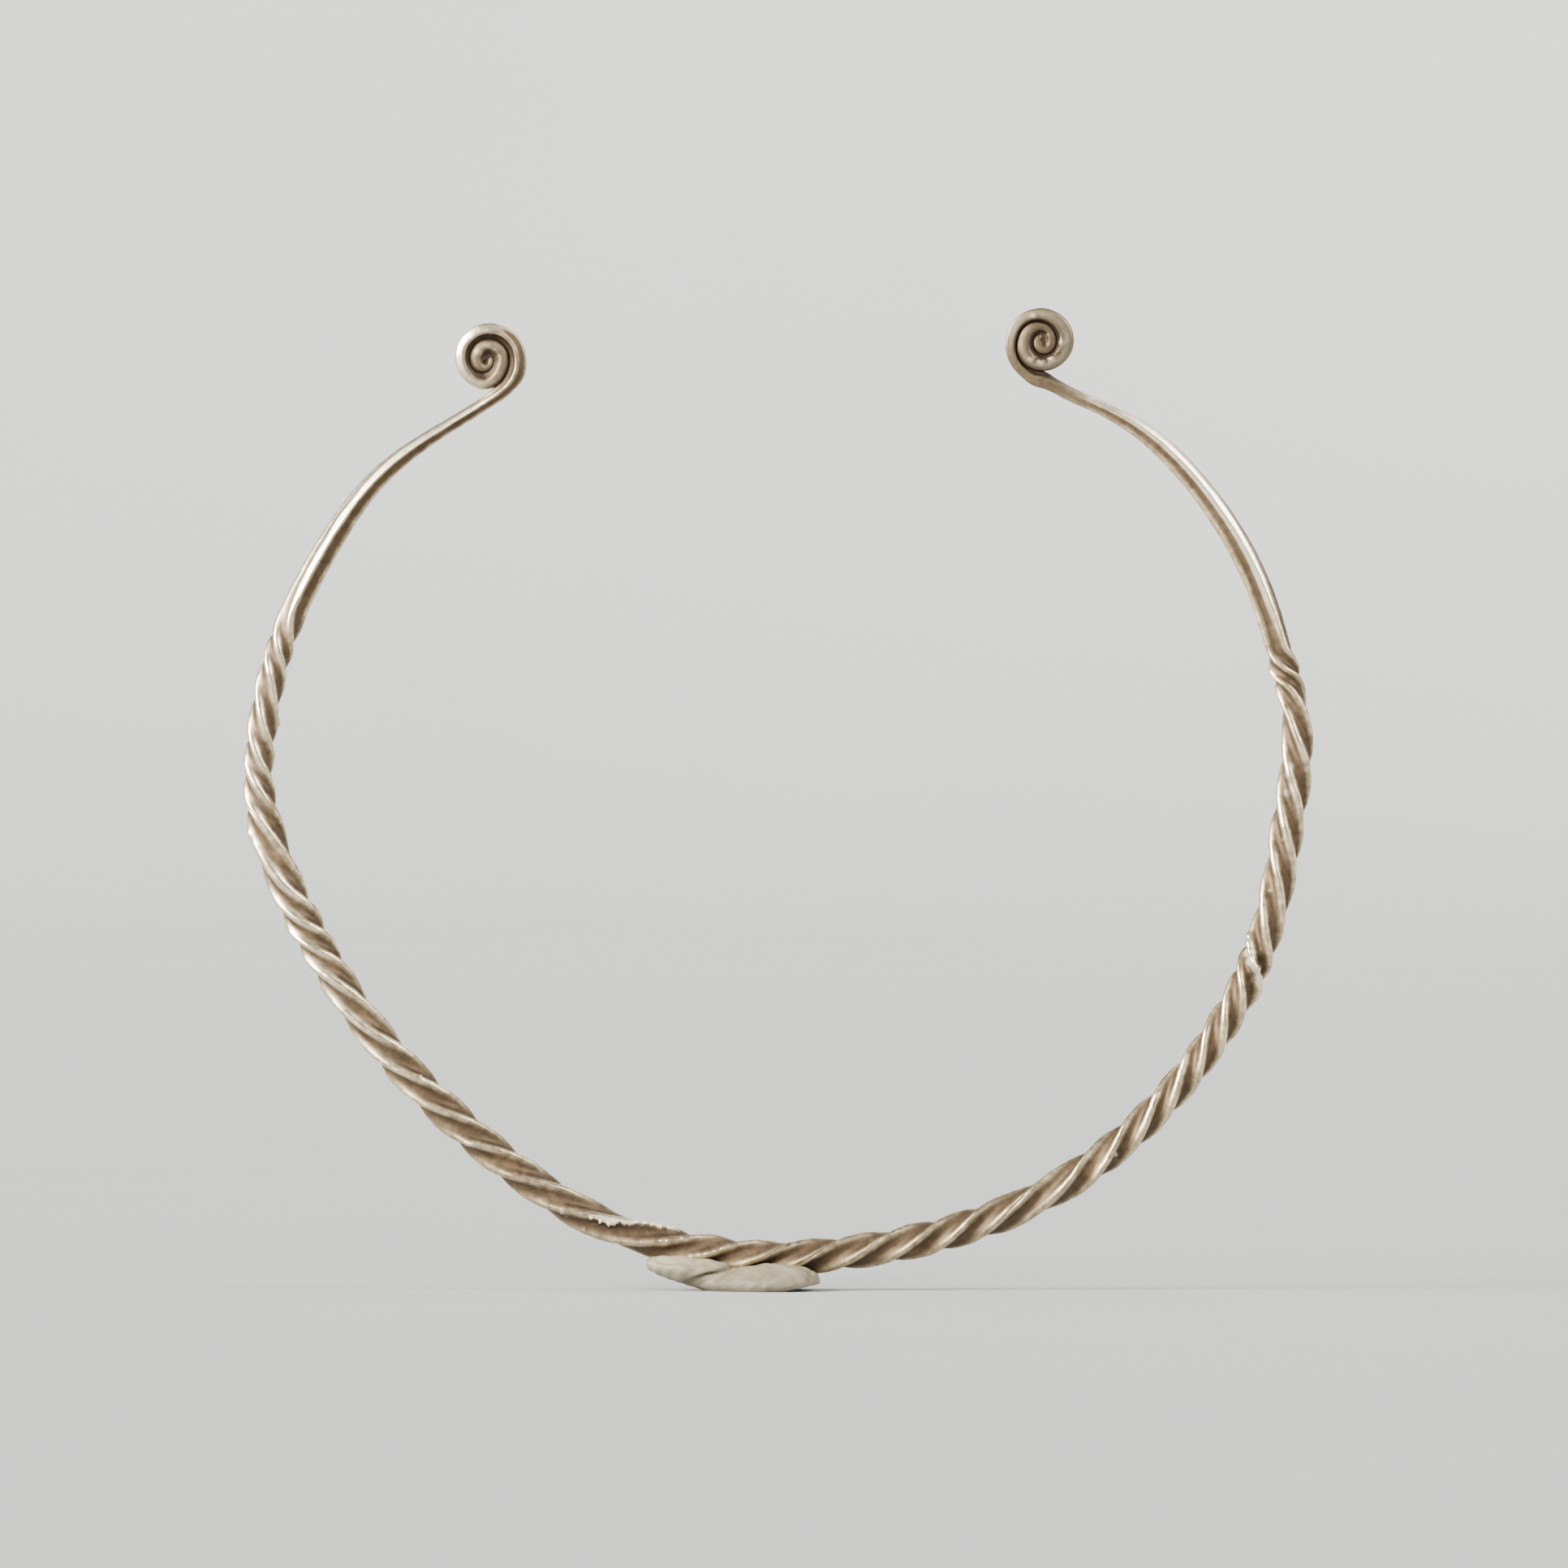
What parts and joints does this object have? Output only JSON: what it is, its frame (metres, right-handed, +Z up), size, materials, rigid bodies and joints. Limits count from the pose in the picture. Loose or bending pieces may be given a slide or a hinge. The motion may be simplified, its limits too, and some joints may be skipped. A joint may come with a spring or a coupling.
{
  "type": "silver torc",
  "caption": "Twisted open neck ring of forged silver with flat coiled ends, standing upright on a small kneaded putty rest.",
  "frame": {"origin": "on the surface that the putty rest stands on, under the middle of the ring's width", "axes": "+Z up through the mouth between the coils, +X to the right across the ring as seen from its front, the front facing -Y"},
  "size_m": [0.1507, 0.019, 0.1383],
  "materials": {
    "silver": "old hand-forged silver, bright on the ridges and brown-grey with patina in the flutes",
    "putty": "matt cream-white kneaded putty"
  },
  "bodies": {
    "root": {"silver_torc": "silver", "putty_rest": "putty"}
  },
  "joints": []
}
